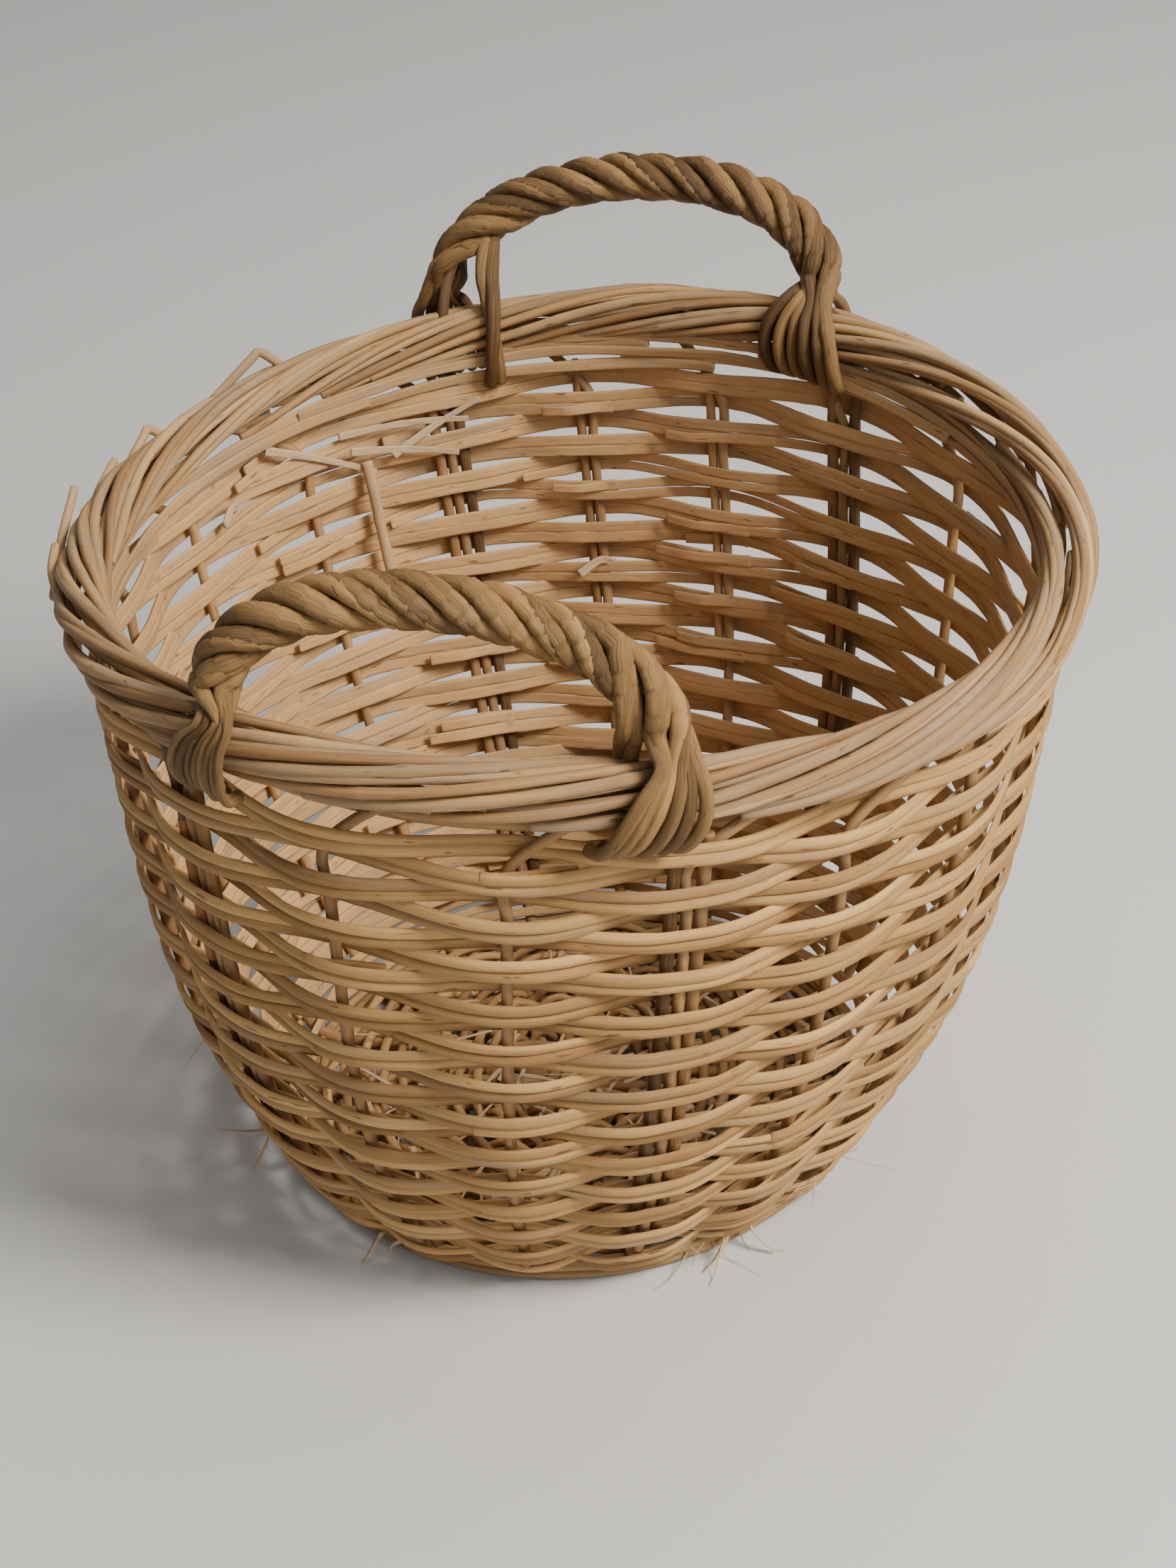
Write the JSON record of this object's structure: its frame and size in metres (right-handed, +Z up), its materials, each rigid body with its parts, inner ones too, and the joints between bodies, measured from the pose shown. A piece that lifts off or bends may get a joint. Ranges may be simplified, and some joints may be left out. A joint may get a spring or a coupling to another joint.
{
  "type": "market basket",
  "caption": "Round tapering willow market basket woven from paired split rods on upright stakes, with a rolled border and two rope-twist handles.",
  "frame": {"origin": "middle of the outer box, on the surface that the foot hoop stands on", "axes": "+Z up; the two handles stand over the +Y and -Y sides"},
  "size_m": [0.4324, 0.4277, 0.3693],
  "materials": {
    "willow_stake": "dry peeled willow",
    "willow_split": "dry split willow",
    "willow_handle": "darkened willow",
    "willow_base": "dry willow"
  },
  "bodies": {
    "root": {"stake_01": "willow_stake", "stake_02": "willow_stake", "stake_03": "willow_stake", "stake_04": "willow_stake", "stake_05": "willow_stake", "stake_06": "willow_stake", "stake_07": "willow_stake", "stake_08": "willow_stake", "stake_09": "willow_stake", "stake_10": "willow_stake", "stake_11": "willow_stake", "stake_12": "willow_stake", "stake_13": "willow_stake", "stake_14": "willow_stake", "stake_15": "willow_stake", "stake_16": "willow_stake", "stake_17": "willow_stake", "stake_18": "willow_stake", "weaver_01": "willow_split", "weaver_02": "willow_split", "weaver_03": "willow_split", "weaver_04": "willow_split", "weaver_05": "willow_split", "weaver_06": "willow_split", "weaver_07": "willow_split", "weaver_08": "willow_split", "weaver_09": "willow_split", "weaver_10": "willow_split", "weaver_11": "willow_split", "weaver_12": "willow_split", "weaver_13": "willow_split", "weaver_14": "willow_split", "weaver_15": "willow_split", "weaver_16": "willow_split", "weaver_17": "willow_split", "weaver_18": "willow_split", "weaver_19": "willow_split", "weaver_20": "willow_split", "weaver_21": "willow_split", "weaver_22": "willow_split", "weaver_23": "willow_split", "weaver_24": "willow_split", "foot_wale": "willow_split", "foot_hoop": "willow_base", "base_sticks_lower": "willow_base", "base_sticks_upper": "willow_base", "base_rounds": "willow_base", "bye_rods": "willow_handle", "doubled_stakes": "willow_handle", "handle_back_bow": "willow_handle", "handle_back_strand_1": "willow_handle", "handle_back_strand_2": "willow_handle", "handle_back_strand_3": "willow_handle", "handle_back_strand_4": "willow_handle", "handle_front_bow": "willow_handle", "handle_front_strand_1": "willow_handle", "handle_front_strand_2": "willow_handle", "handle_front_strand_3": "willow_handle", "handle_front_strand_4": "willow_handle"}
  },
  "joints": []
}
